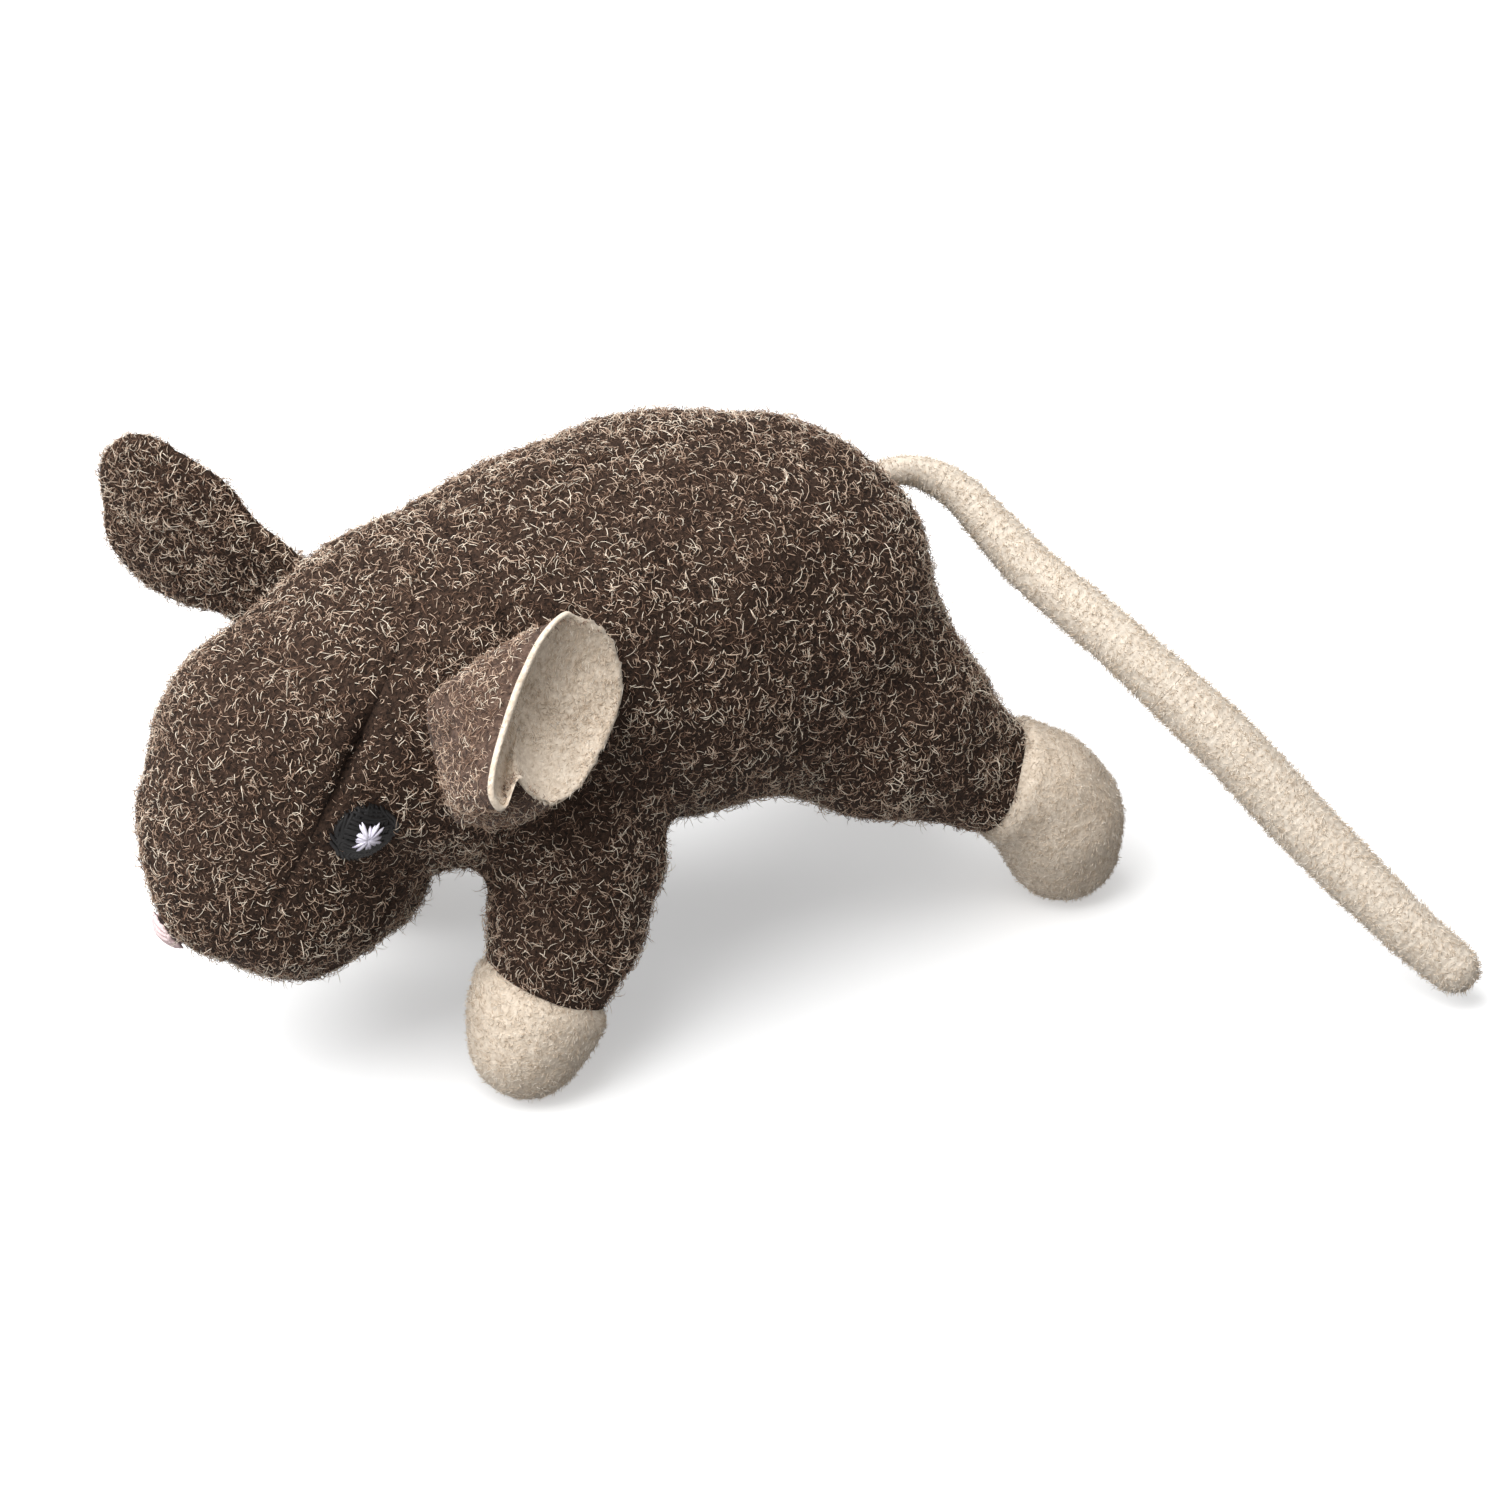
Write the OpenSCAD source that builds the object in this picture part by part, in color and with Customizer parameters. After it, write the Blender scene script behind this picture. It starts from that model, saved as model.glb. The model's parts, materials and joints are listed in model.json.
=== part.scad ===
// A sewn and stuffed toy mouse, standing on its four paws.
// X runs from the tail to the nose, Y to the mouse's left and Z up.
// All sizes are in millimetres.

/* [Body] */
// Height of the back's centre line above the ground
body_h = 44; // [40:1:48]
// Length of the trunk, from the hip to the shoulder
body_l = 35; // [30:1:40]
// Radius of the trunk at the hips
hip_r = 24.3; // [22:0.1:25]
// Radius of the trunk at the waist
waist_r = 25; // [23:0.1:26]
// Radius of the trunk at the shoulders
shoulder_r = 21.5; // [20.5:0.1:22]

/* [Head] */
// Radius of the skull
skull_r = 18; // [17:0.1:19]
// Radius of the cheeks
cheek_r = 17.3; // [16:0.1:18]
// Radius of the end of the snout
snout_r = 11.2; // [10:0.1:12]
// Diameter of an embroidered eye
eye_d = 10; // [8:0.5:11]

/* [Ears] */
// Radius of the open mouth of an ear
ear_r = 11.4; // [10:0.1:12.5]
// Length of the seam that holds an ear to the head
ear_root_l = 14; // [10:1:16]

/* [Legs] */
// Distance of a front paw from the middle plane
front_track = 22; // [20:0.5:23]
// Distance of a hind foot from the middle plane
hind_track = 20; // [18:0.5:21]
// Radius of a front paw
paw_r = 7.6; // [7:0.1:8]
// Radius of a hind foot
foot_r = 7.2; // [6.8:0.1:7.6]

/* [Tail] */
// Radius of the tail where it leaves the rump
tail_root_r = 2; // [1.6:0.1:2.2]
// Radius of the tail along its thick stretch
tail_r = 4; // [3.4:0.1:4.2]

/* [Cloth] */
// Thickness of the wool-look cloth with its backing
wool_t = 1.2; // [0.8:0.1:1.5]
// Thickness of the suede
suede_t = 0.9; // [0.6:0.1:1.1]

/* [Squeaker] */
// Outer radius of the squeaker's bulb
bulb_r = 11; // [9:0.5:12]
// Height of the squeaker's bulb
bulb_h = 13; // [11:0.5:15]

/* [Hidden] */

// Colours
wool = [0.33, 0.26, 0.22];
suede = [0.86, 0.79, 0.68];
fibre = [0.93, 0.92, 0.89];
thread_black = [0.05, 0.05, 0.06];
thread_white = [0.90, 0.88, 0.94];
thread_pink = [0.86, 0.66, 0.68];
squeaker_white = [0.88, 0.88, 0.86];

// Facets of the soft forms, and of the thin tail
soft_fn = 24;
limb_fn = 16;
tail_fn = 12;

// Room between the cloth and its stuffing, between two panels, and at a joint
cloth_gap = 0.15;
seam_gap = 0.3;
joint_gap = 0.45;
leg_head_gap = 1.7;
big = 400;

// Every soft form is a chain of balls, each [x, y, z, radius]
hip = [-20, 0, body_h - 2, hip_r];
trunk = [
    hip,
    [-8, 0, body_h, waist_r],
    [4, 0, body_h + 0.5, (waist_r + shoulder_r) / 2 + 0.75],
    [body_l - 20, 0, body_h, shoulder_r],
    [body_l - 15, 0, body_h - 0.5, shoulder_r - 0.2],
];

// The head turns on a ball that sits in a socket at the front of the trunk
neck = [body_l - 15, 0, body_h - 0.5];
neck_ball_r = 19.9;
neck_socket_r = 20.6;
neck_cut_x = neck[0] - 1;
neck_back_x = neck[0] - 5;
neck_room_x = 4.2;
head_top = [
    [27, 0, body_h - 1.7, 20.3],
    [39.3, 0, body_h - 4.4, skull_r],
    [42, 0, body_h - 13.8, cheek_r],
];
head_low = [
    [42, 0, body_h - 13.8, cheek_r],
    [48, 0, body_h - 17, snout_r],
    [41.4, 0, body_h - 21.8, 12],
    [34.5, 0, body_h - 21, 11],
];

// The middle of the face, the way up across the line from the neck to the nose, and how far
// round from the top of the head the crown gusset's seams lie
head_at = xyz(head_top[2]);
head_up = [0.63, 0, 0.78];
crown_seam = 48;

// Eyes and nose: the ball that each is sewn round, and its direction from there
eye_ball = [39.9, 0, body_h - 6.5, 17.9];
eye_out = [-0.02, 1, 0.09];
eye_low = 0.9;
highlight_d = 3.4;
nose_ball = head_low[1];
nose_out = [0.86, 0, -0.51];
nose_r = 2.2;
nose_low = 0.2;
stitch_t = 0.7;

// Legs: a left chain each, mirrored for the right
front_leg = [
    [11.5, 15.5, 26, 11.6],
    [15, front_track - 3, 19, 10],
    [19, front_track - 1, 13, 8.3],
];
front_paw = [
    [19, front_track - 1, 13, 8.3],
    [21, front_track, 9.5, paw_r],
    [22.5, front_track + 0.5, 6.4, paw_r - 0.8],
];
front_hip = [11.5, 15.5, 29];
front_swing = 15;
front_seam = [20, front_track, 13.6];
front_seam_dir = [-0.6, -0.1, 1];

hind_leg = [
    [-31.7, 12, 29.7, 14.3],
    [-44.8, hind_track - 4, 18.2, 7.6],
    [-48, hind_track - 2, 17, 7.4],
];
hind_foot = [
    [-48, hind_track - 2, 17, 7.4],
    [-51.5, hind_track - 0.8, 15, foot_r + 0.2],
    [-54.4, hind_track, foot_r - 0.6, foot_r],
];
hind_hip = [-27, 12, 33];
hind_swing = 12;
hind_seam = [-46.3, hind_track - 3, 17.6];
hind_seam_dir = [0.86, -0.32, 0.4];

// Tail: its centre line from the rump to the ground, each [x, y, z, radius]
tail = [
    [-41.4, 0.5, 54.4, tail_root_r],
    [-44.6, 1.6, 53.6, tail_root_r + 0.3],
    [-48, 5, 51.2, tail_root_r + 0.7],
    [-52, 14, 44.8, tail_r - 0.7],
    [-58, 25, 38, tail_r - 0.5],
    [-65.4, 37, 28.7, tail_r],
    [-71.4, 47, 19.5, tail_r],
    [-78, 58, 10.2, tail_r - 0.4],
    [-84, 66, tail_r - 0.8, tail_r - 0.8],
];
tail_joint_1 = 3;
tail_joint_2 = 6;
tail_swing_min = -10;
tail_swing_max = 35;

// Ears: the middle of the root seam, the middle of the mouth, and the way the lining faces
ear_root = [30.5, 21.5, 47.4];
ear_root_dir = [0.08, -0.24, 0.97];
ear_root_r = 1.5;
ear_edge = 0.6;
left_mouth = [20.7, 26.7, 54.1];
left_face = [-0.32, 0.86, 0.395];
right_mouth = [39.5, -31.4, 54.2];
right_face = [-0.84, -0.5, 0.2];

// Squeaker, in the middle of the trunk
squeak = [-8, 0, body_h];
bulb_wall = 0.8;
plug_r = 4;
plug_l = 6;
plug_bore_r = 1.6;
reed_t = 0.3;

// The middle of the whole footprint, from the tail's tip to the snout and from the tail's tip
// to the right ear's edge, is the origin
tail_end = tail[len(tail) - 1];
right_edge = right_mouth[1] - ear_r * norm([right_face[0], right_face[2]]);
shift_x = -(tail_end[0] - tail_end[3] + head_low[1][0] + snout_r) / 2;
shift_y = -(tail_end[1] + tail_end[3] + right_edge) / 2;

// ---- Building blocks ----

function xyz(p) = [p[0], p[1], p[2]];
function flip(p) = [for (i = [0:len(p) - 1]) i == 1 ? -p[i] : p[i]];

// Puts a node in the toy's frame
module placed() {
    translate([shift_x, shift_y, 0]) children();
}

// Turns +Z to face along v
module aim(v) {
    rotate([0, acos(v[2] / norm(v)), atan2(v[1], v[0])]) children();
}

module ball(p, inset, fn) {
    translate(xyz(p)) sphere(r = p[3] - inset, $fn = fn);
}

// A bending soft form, pair by pair along a list
module chain(l, inset, fn = soft_fn) {
    for (i = [0:len(l) - 2]) hull() {
        ball(l[i], inset, fn);
        ball(l[i + 1], inset, fn);
    }
}

// Everything on the side of a plane that v points to
module beyond(at, v) {
    translate(at) aim(v) translate([-big / 2, -big / 2, 0]) cube(big);
}

// Turns about the line through p that runs along Y
module swung(p, angle) {
    translate(p) rotate([0, angle, 0]) translate(-p) children();
}

// ---- Trunk ----

belly_outline = [[-45, 5], [-20, 9], [10, 9], [24, 6], [24, -6], [10, -9], [-20, -9], [-45, -5]];
belly_top = body_h - 13;

module trunk_form(inset) {
    chain(trunk, inset);
}

// The neck's socket, and all that lies in front of the trunk
module neck_room() {
    beyond([neck_cut_x, 0, 0], [1, 0, 0]);
    intersection() {
        translate(neck) sphere(r = neck_socket_r, $fn = soft_fn * 2);
        beyond([neck_back_x - neck_room_x, 0, 0], [1, 0, 0]);
    }
}

module trunk_skin() {
    difference() {
        trunk_form(0);
        trunk_form(wool_t);
        neck_room();
    }
}

// The gusset's strip under the belly, between the legs
module belly_strip(inset) {
    linear_extrude(belly_top - inset) offset(delta = -inset) polygon(belly_outline);
}

module side_panel(side) {
    color(wool) placed() difference() {
        trunk_skin();
        belly_strip(0);
        beyond([0, side * seam_gap / 2, 0], [0, -side, 0]);
    }
}

module left_side_panel() side_panel(1);
module right_side_panel() side_panel(-1);

module belly_gusset() {
    color(wool) placed() intersection() {
        trunk_skin();
        belly_strip(seam_gap);
    }
}

// A narrow way down from the squeaker lets its air out through the belly
module squeaker_room() {
    translate(squeak) {
        cylinder(r = bulb_r + seam_gap, h = bulb_h + 2 * seam_gap, center = true, $fn = 40);
        cylinder(r = plug_r + 1.4, h = bulb_h / 2 + plug_l, $fn = 32);
        rotate([180, 0, 0]) cylinder(r = plug_bore_r, h = body_h, $fn = 16);
    }
}

module body_stuffing() {
    color(fibre) placed() difference() {
        trunk_form(wool_t + cloth_gap);
        neck_room();
        squeaker_room();
    }
}

// ---- Squeaker ----

// Half of the bulb's outline, inset from its outside
module bulb_outline(inset) {
    bulge = 3;
    intersection() {
        offset(r = bulge) offset(delta = -bulge - inset)
            translate([-bulb_r, -bulb_h / 2]) square([2 * bulb_r, bulb_h]);
        translate([0, -bulb_h]) square([bulb_r, 2 * bulb_h]);
    }
}

module squeaker_bulb() {
    color(squeaker_white) placed() translate(squeak) rotate_extrude($fn = 48) difference() {
        bulb_outline(0);
        bulb_outline(bulb_wall);
        square([plug_r + 0.05, bulb_h]);
    }
}

module squeaker_plug() {
    color(squeaker_white) placed() translate(squeak + [0, 0, bulb_h / 2]) difference() {
        union() {
            translate([0, 0, 0.05]) cylinder(r = plug_r + 1, h = 1, $fn = 32);
            translate([0, 0, 1 - plug_l]) cylinder(r = plug_r, h = plug_l, $fn = 32);
        }
        translate([0, 0, -plug_l]) cylinder(r = plug_bore_r, h = 2 * plug_l, $fn = 32);
    }
}

module squeaker_reed() {
    color(squeaker_white) placed() translate(squeak + [0, 0, bulb_h / 2 - plug_l / 2 + 0.5])
        cube([2 * plug_bore_r - 0.2, reed_t, plug_l - 1], center = true);
}

// ---- Head ----

module head_form(inset) {
    difference() {
        union() {
            chain(concat([concat(neck, neck_ball_r)], head_top), inset);
            chain(head_low, inset);
        }
        beyond([neck_back_x, 0, 0], [-1, 0, 0]);
    }
}

module head_skin() {
    difference() {
        head_form(0);
        head_form(wool_t);
        beyond([neck_cut_x + joint_gap, 0, 0], [-1, 0, 0]);
    }
}

// The crown gusset's part of the head, over the top from the neck to the nose
module crown_strip(inset) {
    intersection_for (side = [-1, 1]) {
        inward = head_up * sin(crown_seam) + [0, side * cos(crown_seam), 0];
        beyond(head_at + inset * inward, inward);
    }
}

module crown_gusset() {
    color(wool) placed() intersection() {
        head_skin();
        crown_strip(seam_gap);
    }
}

// The stitches of an eye press the wool down
module cheek_panel(side) {
    color(wool) placed() difference() {
        head_skin();
        crown_strip(0);
        beyond([0, side * seam_gap / 2, 0], [0, -side, 0]);
        patch(eye_ball, eye_dir(side), eye_d / 2 + cloth_gap, eye_low - cloth_gap, eye_low + 2 * wool_t);
    }
}

module left_cheek_panel() cheek_panel(1);
module right_cheek_panel() cheek_panel(-1);

module head_stuffing() {
    color(fibre) placed() head_form(wool_t + cloth_gap);
}

// A round patch of stitches that follows the ball it is sewn to
module patch(on, out, r, low, high) {
    translate(xyz(on)) aim(out) intersection() {
        difference() {
            sphere(r = on[3] + high, $fn = 64);
            sphere(r = on[3] + low, $fn = 64);
        }
        cylinder(r = r, h = big, $fn = 48);
    }
}

function eye_dir(side) = side > 0 ? eye_out : flip(eye_out);

module eye(side) {
    color(thread_black) placed() patch(eye_ball, eye_dir(side), eye_d / 2, eye_low, eye_low + stitch_t);
}

module eye_highlight(side) {
    low = eye_low + stitch_t + 0.05;
    color(thread_white) placed()
        patch(eye_ball, eye_dir(side), highlight_d / 2, low, low + stitch_t / 2);
}

module left_eye() eye(1);
module right_eye() eye(-1);
module left_eye_highlight() eye_highlight(1);
module right_eye_highlight() eye_highlight(-1);

module nose() {
    color(thread_pink) placed() patch(nose_ball, nose_out, nose_r, nose_low, nose_low + stitch_t);
}

// ---- Ears ----

// A cup from the root seam to the mouth; depth moves it towards the mouth
module ear_form(root, along, mouth, face, inset, depth) {
    step = depth * (face + (mouth - root) / norm(mouth - root)) / 2;
    hull() {
        for (end = [-0.5, 0.5])
            translate(root + along * ear_root_l * end + 2 * step)
                sphere(r = ear_root_r - inset / 2, $fn = limb_fn);
        translate(mouth + step) aim(face) cylinder(r = ear_r - inset, h = ear_edge, $fn = 36);
    }
}

module ear_back(root, along, mouth, face) {
    color(wool) placed() difference() {
        ear_form(root, along, mouth, face, 0, 0);
        ear_form(root, along, mouth, face, wool_t, wool_t);
    }
}

module ear_lining(root, along, mouth, face) {
    inset = wool_t + cloth_gap;
    color(suede) placed() difference() {
        ear_form(root, along, mouth, face, inset, inset);
        ear_form(root, along, mouth, face, inset + suede_t, inset + suede_t);
        beyond(mouth + (ear_edge + 0.1) * face, face);
    }
}

module left_ear_back() ear_back(ear_root, ear_root_dir, left_mouth, left_face);
module left_ear_lining() ear_lining(ear_root, ear_root_dir, left_mouth, left_face);
module right_ear_back() ear_back(flip(ear_root), flip(ear_root_dir), right_mouth, right_face);
module right_ear_lining() ear_lining(flip(ear_root), flip(ear_root_dir), right_mouth, right_face);

// ---- Legs ----

// The space a left leg must leave free: the trunk as the leg swings, the head and the other side
module leg_room(pivot, swing) {
    for (angle = [-swing, 0, swing]) swung(pivot, angle) trunk_form(-joint_gap);
    ball(head_top[0], -leg_head_gap, soft_fn);
    beyond([0, joint_gap, 0], [0, -1, 0]);
}

module limb_form(leg, paw, inset, sole) {
    intersection() {
        union() {
            chain(leg, inset, limb_fn);
            chain(paw, inset, limb_fn);
        }
        beyond([0, 0, sole], [0, 0, 1]);
    }
}

module leg_sleeve(leg, paw, pivot, swing, seam, seam_dir) {
    color(wool) difference() {
        limb_form(leg, paw, 0, 0);
        limb_form(leg, paw, wool_t, 0);
        beyond(seam, -seam_dir);
        leg_room(pivot, swing);
    }
}

module paw_cover(leg, paw, seam, seam_dir) {
    color(suede) difference() {
        limb_form(leg, paw, 0, 0);
        limb_form(leg, paw, suede_t, suede_t);
        beyond(seam - seam_gap * seam_dir, seam_dir);
    }
}

module leg_stuffing(leg, paw, pivot, swing) {
    color(fibre) difference() {
        limb_form(leg, paw, wool_t + cloth_gap, suede_t + cloth_gap);
        leg_room(pivot, swing);
    }
}

// A left limb as it is, or its mirror image on the right
module on_side(side) {
    placed() if (side > 0) children(); else mirror([0, 1, 0]) children();
}

module front_sleeve(side) on_side(side)
    leg_sleeve(front_leg, front_paw, front_hip, front_swing, front_seam, front_seam_dir);
module hind_sleeve(side) on_side(side)
    leg_sleeve(hind_leg, hind_foot, hind_hip, hind_swing, hind_seam, hind_seam_dir);
module front_cover(side) on_side(side) paw_cover(front_leg, front_paw, front_seam, front_seam_dir);
module hind_cover(side) on_side(side) paw_cover(hind_leg, hind_foot, hind_seam, hind_seam_dir);
module front_stuffing(side) on_side(side) leg_stuffing(front_leg, front_paw, front_hip, front_swing);
module hind_stuffing(side) on_side(side) leg_stuffing(hind_leg, hind_foot, hind_hip, hind_swing);

module front_left_leg_sleeve() front_sleeve(1);
module front_right_leg_sleeve() front_sleeve(-1);
module hind_left_leg_sleeve() hind_sleeve(1);
module hind_right_leg_sleeve() hind_sleeve(-1);
module front_left_paw() front_cover(1);
module front_right_paw() front_cover(-1);
module hind_left_foot() hind_cover(1);
module hind_right_foot() hind_cover(-1);
module front_left_leg_stuffing() front_stuffing(1);
module front_right_leg_stuffing() front_stuffing(-1);
module hind_left_leg_stuffing() hind_stuffing(1);
module hind_right_leg_stuffing() hind_stuffing(-1);

// ---- Tail ----

// One stretch of the tail, hollowed at its end for the next one's round start
module tail_stretch(first, last, inset) {
    difference() {
        chain([for (i = [first:last]) tail[i]], inset, tail_fn);
        if (first == 0) for (angle = [tail_swing_min, 0, tail_swing_max])
            translate(xyz(tail[0])) rotate([0, 0, angle]) translate(-xyz(tail[0]))
                ball(hip, -joint_gap, soft_fn);
        if (last < len(tail) - 1) {
            ball(tail[last], -joint_gap, tail_fn);
            beyond(xyz(tail[last]), xyz(tail[last]) - xyz(tail[last - 1]));
        }
        beyond([0, 0, max(inset, 0)], [0, 0, -1]);
    }
}

module tail_cover(first, last) {
    color(suede) placed() difference() {
        tail_stretch(first, last, 0);
        chain([for (i = [first:last]) tail[i]], suede_t, tail_fn);
    }
}

module tail_filling(first, last) {
    color(fibre) placed() tail_stretch(first, last, suede_t + cloth_gap);
}

module tail_base_cover() tail_cover(0, tail_joint_1);
module tail_base_filling() tail_filling(0, tail_joint_1);
module tail_middle_cover() tail_cover(tail_joint_1, tail_joint_2);
module tail_middle_filling() tail_filling(tail_joint_1, tail_joint_2);
module tail_tip_cover() tail_cover(tail_joint_2, len(tail) - 1);
module tail_tip_filling() tail_filling(tail_joint_2, len(tail) - 1);

left_side_panel();
right_side_panel();
belly_gusset();
body_stuffing();
squeaker_bulb();
squeaker_plug();
squeaker_reed();
crown_gusset();
left_cheek_panel();
right_cheek_panel();
head_stuffing();
left_eye();
right_eye();
left_eye_highlight();
right_eye_highlight();
nose();
left_ear_back();
left_ear_lining();
right_ear_back();
right_ear_lining();
front_left_leg_sleeve();
front_left_paw();
front_left_leg_stuffing();
front_right_leg_sleeve();
front_right_paw();
front_right_leg_stuffing();
hind_left_leg_sleeve();
hind_left_foot();
hind_left_leg_stuffing();
hind_right_leg_sleeve();
hind_right_foot();
hind_right_leg_stuffing();
tail_base_cover();
tail_base_filling();
tail_middle_cover();
tail_middle_filling();
tail_tip_cover();
tail_tip_filling();
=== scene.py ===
"""A sewn and stuffed toy mouse: curly wool pile, suede paws and ear linings, and a long ribbed tail.

The soft forms are smooth unions of the same chains of balls that the part is made of. They are given
in the part's own millimetres, and moved into the frame's metres as each mesh is made.
"""

import json
import math
from functools import partial
from types import SimpleNamespace

import bmesh
import bpy
import numpy as np
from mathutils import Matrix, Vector


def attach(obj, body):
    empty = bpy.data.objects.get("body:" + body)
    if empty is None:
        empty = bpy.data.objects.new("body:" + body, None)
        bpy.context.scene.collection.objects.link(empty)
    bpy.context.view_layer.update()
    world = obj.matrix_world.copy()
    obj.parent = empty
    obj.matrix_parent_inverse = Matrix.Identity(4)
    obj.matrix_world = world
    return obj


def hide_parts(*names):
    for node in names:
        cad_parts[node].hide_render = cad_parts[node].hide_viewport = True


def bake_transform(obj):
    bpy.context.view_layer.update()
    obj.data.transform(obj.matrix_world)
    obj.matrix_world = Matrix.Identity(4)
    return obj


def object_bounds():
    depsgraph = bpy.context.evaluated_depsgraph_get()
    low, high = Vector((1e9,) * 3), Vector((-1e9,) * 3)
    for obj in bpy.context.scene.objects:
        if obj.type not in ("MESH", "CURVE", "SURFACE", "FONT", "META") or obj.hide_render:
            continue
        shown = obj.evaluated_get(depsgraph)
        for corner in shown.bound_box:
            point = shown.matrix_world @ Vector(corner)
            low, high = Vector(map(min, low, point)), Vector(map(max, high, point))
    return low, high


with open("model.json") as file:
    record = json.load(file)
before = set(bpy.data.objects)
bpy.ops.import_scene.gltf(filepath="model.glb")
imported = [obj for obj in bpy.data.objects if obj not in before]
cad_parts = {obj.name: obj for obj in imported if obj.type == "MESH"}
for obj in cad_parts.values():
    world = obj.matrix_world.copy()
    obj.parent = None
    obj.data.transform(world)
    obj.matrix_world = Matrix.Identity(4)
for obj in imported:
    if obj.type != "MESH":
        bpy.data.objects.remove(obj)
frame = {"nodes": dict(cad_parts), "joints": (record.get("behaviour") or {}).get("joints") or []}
cad_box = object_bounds()

# ---- Forms, in millimetres ----

MM = 0.001

# Every form is a chain of balls, each (x, y, z, radius)
TRUNK = [(-20, 0, 42, 24.3), (-8, 0, 44, 25), (4, 0, 44.5, 24), (15, 0, 44, 21.5), (20, 0, 43.5, 21.3)]
HEAD_TOP = [(20, 0, 43.5, 19.9), (27, 0, 42.3, 20.3), (39.3, 0, 39.6, 18), (42, 0, 30.2, 17.3)]
HEAD_LOW = [HEAD_TOP[-1], (48, 0, 27, 11.2), (41.4, 0, 22.2, 12), (34.5, 0, 23, 11)]
LIMBS = {
    "front": [
        (11.5, 15.5, 26, 11.6), (15, 19, 19, 9.8), (19, 21, 13, 7.9), (21, 22, 9.5, 7.6),
        (22.5, 22.5, 6.4, 6.8),
    ],
    "hind": [
        (-31.7, 12, 29.7, 14.3), (-44.8, 16, 18.2, 7.6), (-48, 18, 17, 7.4), (-51.5, 19.2, 15, 7.4),
        (-53.6, 19.8, 11, 7.8), (-54.4, 20, 6.6, 7.2),
    ],
}
# The tail's first ball is inside the rump
TAIL = [
    (-38.2, -0.6, 53.4, 2), (-41.4, 0.5, 54.4, 2), (-44.6, 1.6, 53.6, 2.3), (-48, 5, 51.2, 2.7),
    (-52, 14, 44.8, 3.3), (-58, 25, 38, 3.5), (-65.4, 37, 28.7, 4), (-71.4, 47, 19.5, 4),
    (-78, 58, 10.2, 3.6), (-84, 66, 3.2, 3.2),
]

# The neck's hinge, which gives the part's own origin in the frame
NECK = np.array(HEAD_TOP[0][:3])
neck_hinge = next(joint for joint in frame["joints"] if joint["name"] == "head_nod")
SHIFT = np.array(neck_hinge["pos_m"]) / MM - NECK

# How soft the creases are between the parts of the torso, in a leg, and where a leg leaves the trunk
TORSO_CREASE = 3
LEG_CREASE = 2
HIP_CREASE = 5
SOLE_CREASE = 1.2

# How fine the meshes are, and the box that holds the torso
TORSO_BOX = ((-47, -28, 12), (62, 28, 72))
TORSO_GRID = 1.1
SLEEVE_GRID = 0.9
PAW_GRID = 0.55
EAR_GRID = 0.8

# The skin is this far inside the pile's tips
FUR = 1.1
WOOL_THICK = 1.0
SUEDE_THICK = 0.8
RIGHT_EAR_THICK = 0.6

# ---- Seams, in millimetres ----

NECK_SEAM_X = 19
# The crown's seams, as a plane on the left that is mirrored for the right
CROWN_AT = HEAD_TOP[-1][:3]
CROWN_OUT = (-0.751, 0.461, -0.472)
# The belly gusset narrows to both ends: each edge as (x, half width)
BELLY_EDGE = [(-45, 5), (-20, 9), (10, 9), (24, 6)]
BELLY_TOP = 31
# Each paw's seam as a place on it and the way up the leg
PAW_SEAMS = {"front": ((20, 22, 13.6), (-0.6, -0.1, 1)), "hind": ((-46.3, 17, 17.6), (0.86, -0.32, 0.4))}
COVERS = {"front": "paw", "hind": "foot"}

# How deep each seam pulls the skin in, and how wide its groove is
SPINE_DEPTH = 0.5
CHIN_DEPTH = 0.7
BELLY_DEPTH = 0.6
NECK_DEPTH = 0.35
CROWN_DEPTH = 0.3
SEAM_WIDE = 0.8
CROWN_WIDE = 0.7
# Where the crown's seam shows through the pile, deeper by this much, as x where it starts and ends
BARE_DEPTH = 1.3
BARE_SEAM = (34, 38.5, 42, 46)
SHORT_PILE = (31, 36, 44, 49)

# ---- Embroidery, in millimetres ----

EYE_AT = (39.9, 18.1, 39.5)
EYE_OUT = (0.19, 0.98, 0.02)
EYE_HALF = (3.8, 3.9)
NOSE_BALL = HEAD_LOW[1]
NOSE_OUT = (0.86, 0, -0.51)
NOSE_HALF = (2.9, 2.6)
# Each layer of stitches as its slant and how far its middle is raised
EYE_LAYERS = ((0.35, 0.55), (-0.5, 0.95), (1.2, 1.25))
NOSE_LAYERS = ((0.1, 0.5), (1.3, 0.9))
STITCH_RADIUS = 0.3
EYE_SPACING = 0.42
NOSE_SPACING = 0.4
STAR_RAYS = 19
STAR_RADIUS = 0.2

# ---- Ears, in millimetres ----

EAR_ROOT = (30.5, 21.5, 47.4)
EAR_ROOT_DIR = (0.08, -0.24, 0.97)
# The ears' roots are drawn in this far towards the middle of the head
EAR_SUNK = 3
HEAD_MIDDLE = np.array(HEAD_TOP[1][:3])
LEFT_MOUTH = (20.7, 26.7, 54.1)
LEFT_FACE = (-0.32, 0.86, 0.395)
LEFT_ROOT_HALF = (1.4, 8.2)
# The left ear's mouth in its own plane, (towards the head's front, along the root seam): a leaf whose
# front edge is nearly straight, with a pleat at its lower corner
LEFT_RIM = [
    (8.6, 8.7), (6.8, 9.6), (2.6, 8.5), (-2, 5.6), (-5.9, 2.4), (-9.5, -1), (-11.4, -3.9), (-10.5, -6.2),
    (-7.2, -4), (-5.9, -6.7), (-3.2, -9.1), (1.1, -8.9), (5.9, -6.6), (10.1, -3.8), (12.3, -0.7),
    (12.7, 3.4), (11.2, 6.6),
]
RIM_POINTS = 132
RIGHT_MOUTH = (39.5, -31.4, 54.2)
RIGHT_FACE = (-0.84, -0.5, 0.2)
RIGHT_ROOT_HALF = 7.4
RIGHT_RADIUS = 11.4

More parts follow.
